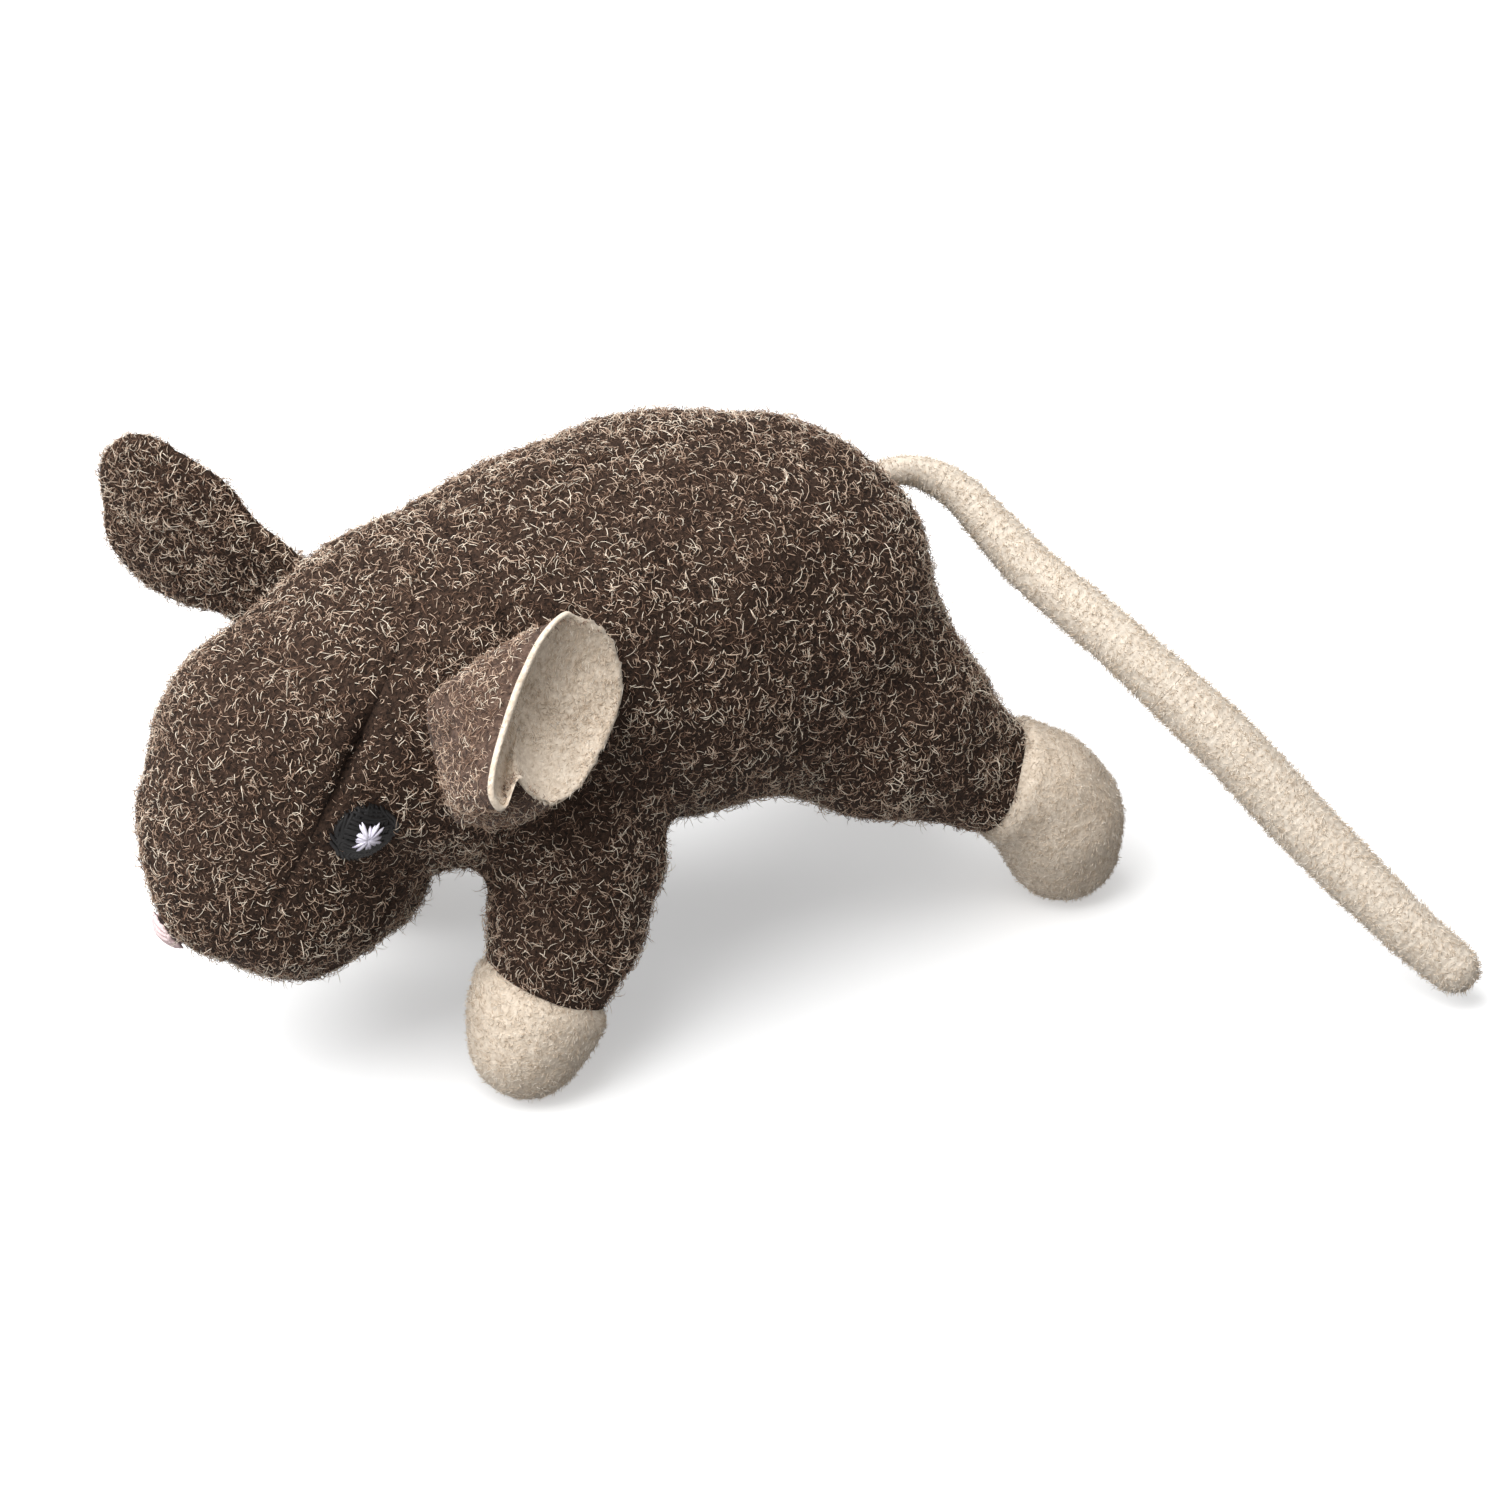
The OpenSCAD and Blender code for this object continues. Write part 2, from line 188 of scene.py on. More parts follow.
# ---- Tail, in millimetres ----

RIB = 1.0
RIB_HEIGHT = 0.04
TAIL_STEP = 0.22
TAIL_AROUND = 26

# ---- Pile: roots on each square millimetre, and how a fibre is made ----

WOOL_DENSITY = 11
LEFT_EAR_DENSITY = 19
LINING_DENSITY = 9
PAW_DENSITY = 6
TAIL_DENSITY = 7
STEPS = 4
SIDES = 3
PIECE_FACES = 190000
# The share of fibres with each tone, from black to pale
WOOL_MIX = (0.21, 0.2, 0.2, 0.16, 0.14, 0.09)
LEFT_EAR_MIX = (0.05, 0.13, 0.28, 0.29, 0.18, 0.07)

# ---- Camera and studio ----

CAMERA_FROM = (30, 34)
CAMERA_AT = np.array([-13.79, 12.51, 29.92])
CAMERA_AWAY = 620
VIEW_ACROSS = 180
FLOOR_HALF = 6
# How bright the surroundings are, towards the floor and overhead
SKY_LOW = 0.16
SKY_HIGH = 0.55
# Each lamp's place and width, in metres, and its power
LAMPS = {"key": ((0.45, -0.1, 0.85), 1.0, 15.0), "front": ((0.95, 0.35, 0.45), 0.6, 3.0)}
LAMPS_AIM_Z = 0.03


# ---- Numbers and fields ----

def unit(v):
    v = np.asarray(v, float)
    return v / np.maximum(np.linalg.norm(v, axis=-1, keepdims=True), 1e-9)


def metres(place):
    return tuple((np.asarray(place, float) + SHIFT) * MM)


def ramp(value, low, high):
    """0 below low, 1 above high, and a smooth step between them."""
    t = np.clip((value - low) / (high - low), 0, 1)
    return t * t * (3 - 2 * t)


def between(value, ends):
    """1 between the second and the third of the ends, and 0 outside the first and the last."""
    return ramp(value, *ends[:2]) * (1 - ramp(value, *ends[2:]))


def bump(value, width):
    return np.exp(-(value / width) ** 2)


def turn_round(count):
    """Evenly spaced angles, once round."""
    return np.linspace(0, 2 * math.pi, count, endpoint=False)


def field(points, period, seed, waves=24):
    """A smooth random number at each point, mostly from -1 to 1, that changes over the period."""
    rng = np.random.default_rng(seed)
    ways = unit(rng.normal(size=(waves, 3))) * rng.uniform(0.7, 1.4, (waves, 1)) * 2 * math.pi / period
    return np.cos(points @ ways.T + rng.uniform(0, 2 * math.pi, waves)).sum(1) / math.sqrt(waves)


def flip(v, side):
    """The same place, direction or ball on the left (side 1), or mirrored on the right (side -1)."""
    return np.array([v[0], v[1] * side, *v[2:]])


def spline(corners, t):
    """A smooth curve from the second to the third of four corners."""
    a, b, c, d = corners
    bend = 2 * a - 5 * b + 4 * c - d
    swing = 3 * b - a - 3 * c + d
    return 0.5 * (2 * b + (c - a) * t + bend * t ** 2 + swing * t ** 3)


def travel(line):
    """How far along a line each of its points is."""
    return np.concatenate([[0], np.cumsum(np.linalg.norm(np.diff(line, axis=0), axis=1))])


# ---- Forms, as distances ----

def round_cone(points, a, b):
    """Distance from each point to the hull of two balls."""
    a = np.array(a, float)
    b = np.array(b, float)
    axis = b[:3] - a[:3]
    square = axis @ axis
    change = a[3] - b[3]
    slant = square - change * change
    offset = points - a[:3]
    y = offset @ axis
    z = y - square
    across = ((offset * square - y[:, None] * axis) ** 2).sum(1)
    y_part = y * y * square
    z_part = z * z * square
    k = np.sign(change) * change * change * across
    beyond_b = np.sqrt(across + z_part) / square - b[3]
    before_a = np.sqrt(across + y_part) / square - a[3]
    between = (np.sqrt(across * slant / square) + y * change) / square - a[3]
    result = np.where(np.sign(y) * slant * y_part < k, before_a, between)
    return np.where(np.sign(z) * slant * z_part > k, beyond_b, result)


def join(a, b, soft):
    """The union of two forms, with the crease between them rounded over soft millimetres."""
    near = np.maximum(soft - np.abs(a - b), 0) / soft
    return np.minimum(a, b) - near * near * soft / 4


def chain(points, balls, soft=1.5):
    distance = round_cone(points, balls[0], balls[1])
    for a, b in zip(balls[1:], balls[2:]):
        distance = join(distance, round_cone(points, a, b), soft)
    return distance


def outward(distance, points, step=0.1):
    change = [distance(points + row) - distance(points - row) for row in np.eye(3) * step]
    return unit(np.stack(change, 1))


def settle(distance, points, rounds=3):
    """Moves points onto the surface where the distance is 0."""
    for _ in range(rounds):
        points = points - np.clip(distance(points), -1, 1)[:, None] * outward(distance, points)
    return points


def crossing_quads(inside, number):
    """A quad round each grid edge that leaves the form, between the cells that share the edge."""
    cells = np.array(inside.shape) - 1
    quads = []
    for axis in range(3):
        u, v = (axis + 1) % 3, (axis + 2) % 3
        first = np.take(inside, range(cells[axis]), axis)
        second = np.take(inside, range(1, cells[axis] + 1), axis)
        edges = np.argwhere(first != second)
        within = (edges[:, u] > 0) & (edges[:, v] > 0) & (edges[:, u] < cells[u]) & (edges[:, v] < cells[v])
        edges = edges[within]
        quad = np.empty((len(edges), 4), int)
        for corner, (du, dv) in enumerate(((0, 0), (-1, 0), (-1, -1), (0, -1))):
            cell = edges.copy()
            cell[:, u] += du
            cell[:, v] += dv
            quad[:, corner] = number[tuple(cell.T)]
        leaving = first[tuple(edges.T)]
        quad[~leaving] = quad[~leaving][:, ::-1]
        quads.append(quad)
    return np.concatenate(quads)


def relax(distance, points, quads):
    """Moves each point half way to the middle of its neighbours, and back onto the surface."""
    total = np.zeros_like(points)
    count = np.zeros(len(points))
    for a, b in ((0, 1), (1, 2), (2, 3), (3, 0)):
        for here, there in ((a, b), (b, a)):
            np.add.at(total, quads[:, here], points[quads[:, there]])
            np.add.at(count, quads[:, here], 1)
    return settle(distance, (points + total / count[:, None]) / 2, 1)


def surface(distance, low, high, step):
    """A mesh of even quads on the surface where the distance is 0, one vertex in each crossed cell."""
    axes = [np.arange(low[i], high[i] + step, step) for i in range(3)]
    grid = np.stack(np.meshgrid(*axes, indexing="ij"), -1)
    inside = (distance(grid.reshape(-1, 3)) < 0).reshape(grid.shape[:3])
    cells = np.array(inside.shape) - 1
    corners = [inside[i:i + cells[0], j:j + cells[1], k:k + cells[2]]
               for i in (0, 1) for j in (0, 1) for k in (0, 1)]
    crossed = np.any(corners, 0) & ~np.all(corners, 0)
    number = np.full(crossed.shape, -1)
    number[crossed] = np.arange(crossed.sum())
    quads = crossing_quads(inside, number)
    points = np.array(low, float) + (np.argwhere(crossed) + 0.5) * step
    points = settle(distance, points)
    for _ in range(3):
        points = relax(distance, points, quads)
    return settle(distance, points, 2), quads


# ---- Materials ----

def shade(red, green, blue):
    """A colour from 0 to 255 as it is seen, in the shader's linear numbers."""
    return tuple(((c / 255 + 0.055) / 1.055) ** 2.4 for c in (red, green, blue))


def principled(name, colour, roughness, sheen=0.0, specular=0.3):
    material = bpy.data.materials.new(name)
    material.use_nodes = True
    shader = material.node_tree.nodes["Principled BSDF"]
    shader.inputs["Base Color"].default_value = (*colour, 1)
    shader.inputs["Roughness"].default_value = roughness
    shader.inputs["Specular IOR Level"].default_value = specular
    shader.inputs["Sheen Weight"].default_value = sheen
    shader.inputs["Sheen Roughness"].default_value = 0.5
    return material, shader


def noise(tree, place, scale, detail):
    node = tree.nodes.new("ShaderNodeTexNoise")
    node.inputs["Scale"].default_value = scale
    node.inputs["Detail"].default_value = detail
    tree.links.new(place.outputs["Object"], node.inputs["Vector"])
    return node


def ramp_node(tree, stops):
    """A colour ramp between two stops, each (position, colour)."""
    node = tree.nodes.new("ShaderNodeValToRGB")
    for element, (position, colour) in zip(node.color_ramp.elements, stops):
        element.position = position
        element.color = (*colour, 1)
    return node


def cloth(name, dark, light, grain_mm, roughness, sheen, depth_mm, specular=0.2):
    """Cloth mottled between two colours, with a raised grain of its own size."""
    material, shader = principled(name, light, roughness, sheen, specular)
    tree = material.node_tree
    place = tree.nodes.new("ShaderNodeTexCoord")
    blotch = noise(tree, place, 0.25 / (grain_mm * MM), 8)
    blotch.inputs["Roughness"].default_value = 0.68
    colours = ramp_node(tree, ((0.34, dark), (0.66, light)))
    tree.links.new(blotch.outputs["Fac"], colours.inputs["Fac"])
    tree.links.new(colours.outputs["Color"], shader.inputs["Base Color"])
    grain = noise(tree, place, 0.6 / (grain_mm * MM), 4)
    raised = tree.nodes.new("ShaderNodeBump")
    raised.inputs["Strength"].default_value = 0.7
    raised.inputs["Distance"].default_value = depth_mm * MM
    tree.links.new(grain.outputs["Fac"], raised.inputs["Height"])
    tree.links.new(raised.outputs["Normal"], shader.inputs["Normal"])
    return material


def tones(prefix, roughness, specular, colours):
    """Plain materials for fibres, from a name and a colour each."""
    return [
        principled(f"{prefix}_{name}", shade(*colour), roughness, 0.0, specular)[0]
        for name, colour in colours.items()
    ]


# The wool backing's near-black is partly the fleece's own dark base and partly painted shade of the depth
# between the fibres
# Each cloth's darkest and lightest colour, then its grain in mm, roughness, sheen and depth in mm
WOOL_SKIN = cloth("wool_backing", shade(14, 9, 6), shade(80, 61, 50), 0.12, 0.95, 0.0, 0.5)
EAR_SKIN = cloth("ear_wool_backing", shade(48, 35, 29), shade(112, 90, 78), 0.15, 0.95, 0.1, 0.3)
WOOL_TONES = tones("wool", 0.62, 0.25, {
    "black": (40, 27, 19), "dark": (94, 70, 55), "brown": (142, 112, 93),
    "grey": (182, 154, 133), "light": (222, 197, 175), "pale": (253, 238, 218),
})
SUEDE = cloth("suede", shade(204, 186, 165), shade(246, 231, 212), 0.2, 0.92, 0.2, 0.2)
TAIL_SUEDE = cloth("ribbed_suede", shade(204, 190, 173), shade(230, 219, 204), 0.2, 0.92, 0.2, 0.15)
NAP_TONES = tones("nap", 0.8, 0.15, {
    "cream": (238, 223, 204), "pale": (252, 243, 230), "sand": (208, 190, 168),
})
BLACK_THREAD = cloth("eye_thread", shade(5, 4, 4), shade(22, 19, 19), 0.35, 0.6, 0.0, 0.05, specular=0.3)
WHITE_THREAD = cloth("highlight_thread", shade(205, 198, 222), shade(244, 240, 250), 0.3, 0.45, 0.1, 0.04)
PINK_THREAD = cloth("nose_thread", shade(232, 202, 203), shade(248, 226, 226), 0.3, 0.6, 0.1, 0.05)
PLASTIC = cloth("squeaker_plastic", shade(206, 206, 200), shade(226, 226, 221), 2.5, 0.45, 0.0, 0.02)


# ---- Meshes ----

def add_to_scene(name, data, place=(0, 0, 0)):
    obj = bpy.data.objects.new(name, data)
    obj.location = place
    bpy.context.scene.collection.objects.link(obj)
    return obj


def fill_mesh(mesh, points, faces):
    """Faces are lists of corners or, where there are very many of one size, an array."""
    if not isinstance(faces, np.ndarray):
        mesh.from_pydata(points.tolist(), [], faces)
        return
    mesh.vertices.add(len(points))
    mesh.vertices.foreach_set("co", points.astype(np.float32).ravel())
    mesh.loops.add(faces.size)
    mesh.loops.foreach_set("vertex_index", faces.astype(np.int32).ravel())
    mesh.polygons.add(len(faces))
    mesh.polygons.foreach_set("loop_start", np.arange(0, faces.size, faces.shape[1], dtype=np.int32))
    mesh.update(calc_edges=True)


def piece(name, points, faces, materials, slot, chosen=None):
    """A smooth-shaded mesh object. chosen gives the number of each face's material."""
    mesh = bpy.data.meshes.new(name)
    fill_mesh(mesh, (np.asarray(points) + SHIFT) * MM, faces)
    for material in materials:
        mesh.materials.append(material)
    if chosen is not None:
        mesh.polygons.foreach_set("material_index", np.asarray(chosen, np.int32))
    mesh.polygons.foreach_set("use_smooth", np.ones(len(mesh.polygons), bool))
    mesh.update()
    obj = add_to_scene(name, mesh)
    return obj


def cut(points, faces, planes, distance):
    """The mesh with new edges along each plane, given as (point, normal), drawn onto the surface."""
    bm = bmesh.new()
    corners = [bm.verts.new(point) for point in points]
    for face in faces:
        bm.faces.new([corners[i] for i in face])
    for place, normal in planes:
        everything = bm.verts[:] + bm.edges[:] + bm.faces[:]
        bmesh.ops.bisect_plane(bm, geom=everything, dist=0.02, plane_co=place, plane_no=normal)
    bm.verts.index_update()
    points = np.array([corner.co for corner in bm.verts])
    faces = [[corner.index for corner in face.verts] for face in bm.faces]
    bm.free()
    return settle(distance, points, 2), faces


def middles(points, faces):
    return np.array([points[face].mean(0) for face in faces])


def thicken(points, faces, normals, thickness):
    """Closes a sheet with an inner layer and a rim along its edges."""
    count = len(points)
    inner = [[i + count for i in reversed(face)] for face in faces]
    sides = {}
    for face in faces:
        for a, b in zip(face, face[1:] + face[:1]):
            sides[(a, b)] = True
    rim = [[b, a, a + count, b + count] for a, b in sides if (b, a) not in sides]
    return np.vstack([points, points - normals * thickness]), faces + inner + rim


def panel(name, points, faces, kept, distance, material, thickness, slot):
    """A closed panel of cloth, from those faces of a skin that are kept."""
    faces = [face for face, wanted in zip(faces, kept) if wanted]
    used = sorted({i for face in faces for i in face})
    renumbered = {old: new for new, old in enumerate(used)}
    faces = [[renumbered[i] for i in face] for face in faces]
    points = points[used]
    points, faces = thicken(points, faces, outward(distance, points), thickness)
    return piece(name, points, faces, [material], slot)


def band(rings, wrapped=False):
    """Points and quads between rings of equal length. A wrapped band also joins its last to its first."""
    rings = np.asarray(rings)
    rows, size = rings.shape[:2]
    here = np.arange(rows * size).reshape(rows, size)
    after = np.roll(here, -1, 1)
    quads = np.stack([here, after, np.roll(after, -1, 0), np.roll(here, -1, 0)], 2)
    if not wrapped:
        quads = quads[:-1]
    return rings.reshape(-1, 3), quads.reshape(-1, 4)


def loft(rings, reverse=False):
    """A band that is closed with a fan of triangles over each end."""
    points, quads = band(rings)
    size = len(rings[0])
    first = len(points)
    faces = quads.tolist()
    for i in range(size):
        n = (i + 1) % size
        faces += [[n, i, first], [first - size + i, first - size + n, first + 1]]
    points = np.vstack([points, rings[0].mean(0), rings[-1].mean(0)])
    return points, [face[::-1] for face in faces] if reverse else faces


def together(parts):
    """One mesh from several."""
    points, faces = [], []
    count = 0
    for part_points, part_faces in parts:
        points.append(part_points)
        faces += [[i + count for i in face] for face in part_faces]
        count += len(part_points)
    return np.vstack(points), faces


def scatter(points, quads, per_mm2, seed):
    """Random places, evenly spread over a mesh of quads."""
    rng = np.random.default_rng(seed)
    triangles = np.concatenate([quads[:, [0, 1, 2]], quads[:, [0, 2, 3]]])
    a, b, c = (points[triangles[:, i]] for i in range(3))
    areas = np.linalg.norm(np.cross(b - a, c - a), axis=1) / 2
    count = int(areas.sum() * per_mm2)
    at = rng.choice(len(triangles), count, p=areas / areas.sum())
    u, v = rng.uniform(size=(2, count, 1))
    over = u + v > 1
    u = np.where(over, 1 - u, u)
    v = np.where(over, 1 - v, v)
    return a[at] + u * (b[at] - a[at]) + v * (c[at] - a[at])


# ---- Pile ----

def fibre_faces():
    """The triangles of one fibre: its closed root, its sides and its tip."""
    faces = [[0, 2, 1]]
    for s in range(SIDES):
        n = (s + 1) % SIDES
        for low in range(0, (STEPS - 1) * SIDES, SIDES):
            high = low + SIDES
            faces += [[low + s, low + n, high + n], [low + s, high + n, high + s]]
        last = (STEPS - 1) * SIDES
        faces.append([last + s, last + n, STEPS * SIDES])
    return np.array(faces)


ONE_FIBRE = fibre_faces()


def fibres(roots, normals, length, width, lean, bend, turn, twist):
    """The points and triangles of curled three-sided fibres that taper to a point."""
    helper = np.where(np.abs(normals[:, 2:]) < 0.9, [[0, 0, 1]], [[1, 0, 0]])
    across = unit(np.cross(normals, helper))
    along = np.cross(normals, across)
    centre = roots
    rows = []
    for step in range(STEPS + 1):
        now = (turn + twist * step)[:, None]
        way = np.cos(now) * across + np.sin(now) * along
        if step:
            angle = (lean + bend * (step - 0.5) / STEPS)[:, None]
            centre = centre + (length / STEPS)[:, None] * (np.cos(angle) * normals + np.sin(angle) * way)
        if step == STEPS:
            break
        angle = (lean + bend * step / STEPS)[:, None]
        side = np.cross(normals, way)
        second = np.sin(angle) * normals - np.cos(angle) * way
        thick = (width / 2 * (1 - 0.35 * step / (STEPS - 1)))[:, None]
        rows += [centre + thick * (math.cos(a) * side + math.sin(a) * second) for a in turn_round(SIDES)]
    points = np.stack([*rows, centre], 1)
    triangles = np.arange(len(roots))[:, None, None] * points.shape[1] + ONE_FIBRE
    return points.reshape(-1, 3), triangles.reshape(-1, 3)


def curly(roots, normals, seed, scale, length=1.65, width=0.09, upright=1.0, mix=WOOL_MIX):
    """A short curly pile in clumps, in which the palest fibres are the longest."""
    rng = np.random.default_rng(seed)
    count = len(roots)
    clump = field(roots, 2.4, seed + 1)
    tone_at = rng.uniform(size=count) + 0.04 * clump + 0.05 * field(roots, 11, seed + 3)
    tone = np.searchsorted(np.cumsum(mix), np.clip(tone_at, 0, 0.9999))
    tone = np.minimum(tone, len(mix) - 1)
    turn = rng.uniform(0, 2 * math.pi, count)
    # Darker fibres are shorter, so the pile darkens towards its roots: partly the fleece's dark undercoat,
    # partly painted shade of the pile's depth
    long = length * scale * (0.74 + 0.1 * tone) * (1 + 0.16 * clump) * rng.uniform(0.6, 1.4, count)
    lean = (0.4 + 0.35 * rng.uniform(-1, 1, count)) / upright
    bend = rng.uniform(1.6, 5.0, count)
    twist = rng.normal(0, 0.7, count)
    stray = rng.uniform(size=count) < 0.04
    bend = np.where(stray, rng.uniform(0.2, 1.2, count), bend)
    thick = width * (0.85 + 0.07 * tone) * rng.uniform(0.75, 1.25, count)
    points, triangles = fibres(roots - 0.25 * normals, normals, long, thick, lean, bend, turn, twist)
    return points, triangles, tone


def nap(roots, normals, seed, scale, length=0.7, width=0.09, brushed=0.8):
    """A fine short nap, which lies flatter the more it is brushed."""
    rng = np.random.default_rng(seed)
    count = len(roots)
    long = length * scale * rng.uniform(0.5, 1.4, count)
    lean = brushed + rng.uniform(-0.3, 0.4, count)
    bend = rng.uniform(0.0, 1.2, count)
    turn = 1.2 * field(roots, 8, seed + 1) + rng.normal(0, 0.3 + 0.9 * (1.3 - brushed), count)
    twist = rng.normal(0, 0.3, count)
    thick = np.full(count, width)
    points, triangles = fibres(roots - 0.05 * normals, normals, long, thick, lean, bend, turn, twist)
    return points, triangles, rng.integers(0, len(NAP_TONES), count)


def pile(name, roots, normals, seed, slot, materials, grow, scale=None, **options):
    """The pile of one panel, in as many pieces as its fibres need, from one end to the other."""
    scale = np.ones(len(roots)) if scale is None else scale
    order = np.argsort(roots[:, 0])
    parts = math.ceil(len(order) / (PIECE_FACES // len(ONE_FIBRE)))
    pieces = []
    for number, chosen in enumerate(np.array_split(order, parts), 1):
        points, triangles, tone = grow(
            roots[chosen], normals[chosen], seed + 10 * number, scale=scale[chosen], **options)
        label = f"{name}_pile" if parts == 1 else f"{name}_pile_{number}"
        pieces.append(piece(label, points, triangles, materials, slot, np.repeat(tone, len(ONE_FIBRE))))
    return pieces


def wool_pile(name, roots, normals, seed, **options):
    return pile(name, roots, normals, seed, "wool_cloth", WOOL_TONES, curly, **options)


def suede_pile(name, roots, normals, seed, slot="suede", **options):
    return pile(name, roots, normals, seed, slot, NAP_TONES, nap, **options)


# ---- Trunk and head ----

def crown_side(points, side):
    """How far a point is below the crown's seam on one side, towards the cheek."""
    return (points - np.array(CROWN_AT)) @ unit(flip(CROWN_OUT, side))


def belly_half(x):
    xs, widths = zip(*BELLY_EDGE)
    return np.interp(x, xs, widths)


def torso(points):
    """The trunk and the head as one form, out to the tips of the pile."""
    whole = join(chain(points, TRUNK), chain(points, HEAD_TOP), TORSO_CREASE)
    return join(whole, chain(points, HEAD_LOW), TORSO_CREASE)


def seam_grooves(points):
    """How deep the seams between the panels pull the skin in."""
    x, y, z = points.T
    on_head = ramp(x, NECK_SEAM_X - 1, NECK_SEAM_X + 1)
    beside = [crown_side(points, side) for side in (1, -1)]
    below_crown = ramp(np.minimum(*beside), 0, 2)
    under = 1 - ramp(z, BELLY_TOP - 4, BELLY_TOP)
    spine = SPINE_DEPTH * bump(y, SEAM_WIDE) * ramp(z, 40, 44) * (1 - on_head)
    chin = CHIN_DEPTH * bump(y, SEAM_WIDE) * below_crown * on_head
    belly = BELLY_DEPTH * bump(np.abs(y) - belly_half(x), SEAM_WIDE) * under * (1 - on_head)
    neck = NECK_DEPTH * bump(x - NECK_SEAM_X, 1)
    depth = CROWN_DEPTH + BARE_DEPTH * between(x, BARE_SEAM)
    crown = depth * sum(bump(away, CROWN_WIDE) for away in beside) * on_head
    return spine + chin + belly + neck + crown


def torso_skin(points):
    lumps = 0.3 * field(points, 17, 4) + 0.12 * field(points, 6, 5)
    return torso(points) + FUR + lumps + seam_grooves(points)


def torso_planes():
    """The planes that cut the torso's skin along its seams, as (place, normal)."""
    planes = [((NECK_SEAM_X, 0, 0), (1, 0, 0)), ((0, 0, 0), (0, 1, 0)), ((0, 0, BELLY_TOP), (0, 0, 1))]
    planes += [(CROWN_AT, flip(CROWN_OUT, side)) for side in (1, -1)]
    for (x1, w1), (x2, w2) in zip(BELLY_EDGE, BELLY_EDGE[1:]):
        planes += [((x1, side * w1, 0), (side * (w1 - w2), x2 - x1, 0)) for side in (1, -1)]
    return planes


def torso_panels(points):
    """Which of the points each panel has."""
    x, y, z = points.T
    head = x >= NECK_SEAM_X
    left = y > 0
    belly = (np.abs(y) < belly_half(x)) & (z < BELLY_TOP)
    crown = np.maximum(crown_side(points, 1), crown_side(points, -1)) < 0
    return {
        "left_side_panel": ~head & left & ~belly,
        "right_side_panel": ~head & ~left & ~belly,
        "belly_gusset": ~head & belly,
        "crown_gusset": head & crown,
        "left_cheek_panel": head & ~crown & left,
        "right_cheek_panel": head & ~crown & ~left,
    }


def clear_of_stitches(roots):
    """False where the embroidery of the eyes and the nose covers the cloth."""
    free = np.ones(len(roots), bool)
    for side in (1, -1):
        free &= np.linalg.norm(roots - flip(EYE_AT, side), axis=1) > max(EYE_HALF) - 0.7
    nose = np.array(NOSE_BALL[:3]) + NOSE_BALL[3] * unit(NOSE_OUT)
    return free & (np.linalg.norm(roots - nose, axis=1) > max(NOSE_HALF) - 0.5)


def torso_grown(roots):
    """Which roots grow: in uneven tufts, fewer in the grooves, none under stitches or leg sleeves."""
    rng = np.random.default_rng(21)
    tufts = 0.76 + 0.16 * field(roots, 1.5, 22) + 0.1 * field(roots, 4, 23)
    grown = rng.uniform(size=len(roots)) < tufts
    grown &= clear_of_stitches(roots)
    grown &= rng.uniform(0, 1.9, len(roots)) > seam_grooves(roots)
    for which in LIMBS:
        for side in (1, -1):
            grown &= sleeve_skin(roots, which, side) > -0.5
    return grown


def shorter_at_crown(roots):
    """The pile's length, which is halved where the crown's seam shows."""
    by_crown = np.maximum(*(bump(crown_side(roots, side), 1.8) for side in (1, -1)))
    return 1 - 0.5 * by_crown * between(roots[:, 0], SHORT_PILE)


def build_torso():
    points, quads = surface(torso_skin, *TORSO_BOX, TORSO_GRID)
    roots = settle(torso_skin, scatter(points, quads, WOOL_DENSITY, 20), 1)
    normals = outward(torso_skin, roots)
    grown = torso_grown(roots)
    scale = shorter_at_crown(roots)
    points, faces = cut(points, quads, torso_planes(), torso_skin)
    rooted = torso_panels(roots)
    stuffing = {"left_side_panel": ["body_stuffing"], "crown_gusset": ["head_stuffing"]}
    for number, (name, kept) in enumerate(torso_panels(middles(points, faces)).items()):
        skin = panel(name, points, faces, kept, torso_skin, WOOL_SKIN, WOOL_THICK, "wool_cloth")
        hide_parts(name, *stuffing.get(name, []))
        here = grown & rooted[name]
        for obj in (skin, *wool_pile(name, roots[here], normals[here], 30 + number, scale=scale[here])):
            if name in ("left_side_panel", "right_side_panel", "belly_gusset"):
                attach(obj, "body")
            else:
                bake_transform(obj)


# ---- Legs and paws ----

def limb_form(points, which, side):
    """A whole leg with its paw, flattened where it stands."""
    form = chain(points, [flip(ball, side) for ball in LIMBS[which]], LEG_CREASE)
    return -join(-form, points[:, 2], SOLE_CREASE)


def past_seam(points, which, side):
    """How far a point is up the leg from the paw's seam."""
    place, direction = PAW_SEAMS[which]
    return (points - flip(place, side)) @ unit(flip(direction, side))


def sleeve_skin(points, which, side):
    """A leg's skin down to the paw, which runs out into the trunk all round."""
    leg = limb_form(points, which, side) + FUR + 0.2 * field(points, 9, 6)
    return join(leg, torso_skin(points), HIP_CREASE)


def paw_skin(points, which, side):
    """A paw's skin, gathered in under the sleeve's edge."""
    lumps = 0.05 * field(points, 8, 8) + 0.03 * field(points, 2.2, 9)
    tucked = 1.5 * ramp(past_seam(points, which, side), -1.8, 0.8)
    return limb_form(points, which, side) + lumps + tucked + 0.1


def on_sleeve(points, which, side):
    """Whether a point is outside the trunk, above the paw and on the leg's own side."""
    proud = torso_skin(points) > 0.12
    return proud & (past_seam(points, which, side) > 0) & (points[:, 1] * side > 0)


def leg_box(which, side, room=3):
    balls = np.array([flip(ball, side) for ball in LIMBS[which]])
    low = (balls[:, :3] - balls[:, 3:]).min(0) - room
    high = (balls[:, :3] + balls[:, 3:]).max(0) + room
    return low, high


